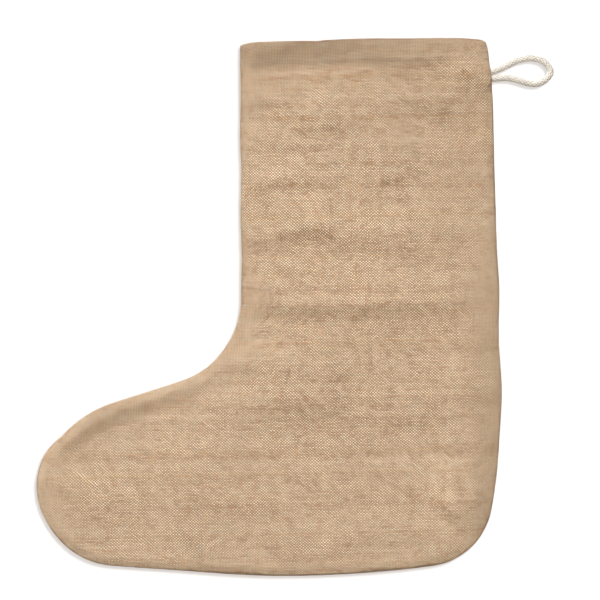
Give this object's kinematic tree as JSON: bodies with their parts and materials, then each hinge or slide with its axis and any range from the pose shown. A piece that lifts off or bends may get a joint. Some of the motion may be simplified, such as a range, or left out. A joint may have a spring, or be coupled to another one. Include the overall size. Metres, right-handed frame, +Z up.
{
  "type": "hanging stocking",
  "caption": "Large flat-cut stocking of coarse natural jute cloth, open at a hemmed mouth and hung from a braided cotton cord loop in the heel-side seam.",
  "frame": {"origin": "centre of the eye at the far end of the cord loop, at rest with the loop level", "axes": "+Z up the leg towards the mouth, +X from the toe towards the heel side, -Y out of the front panel"},
  "size_m": [0.4236, 0.0242, 0.4302],
  "materials": {
    "jute_cloth": "coarse plain weave",
    "cotton_braid": "soft braided cotton",
    "cotton_core": "loose cotton filler",
    "sewing_thread": "spun thread"
  },
  "bodies": {
    "bag": {"front_panel": "jute_cloth", "back_panel": "jute_cloth", "cord_tails_braid": "cotton_braid", "cord_tails_core": "cotton_core", "side_seam_needle_thread": "sewing_thread", "side_seam_bobbin_thread": "sewing_thread", "allowance_overlock_thread": "sewing_thread", "cord_tack_thread": "sewing_thread", "hem_threads": "sewing_thread"},
    "loop_stem": {"cord_stem_braid": "cotton_braid", "cord_stem_core": "cotton_core"},
    "loop": {"cord_loop_braid": "cotton_braid", "cord_loop_core": "cotton_core"}
  },
  "joints": [
    {"name": "loop_swing", "type": "hinge", "parent": "bag", "child": "loop_stem", "pos_m": [-0.03043, 0, 0], "axis": [0, -1, 0], "range_deg": [-75, 75]},
    {"name": "loop_fold", "type": "hinge", "parent": "loop_stem", "child": "loop", "pos_m": [-0.02143, 0, 0], "axis": [0, 0, 1], "range_deg": [-90, 90]}
  ]
}
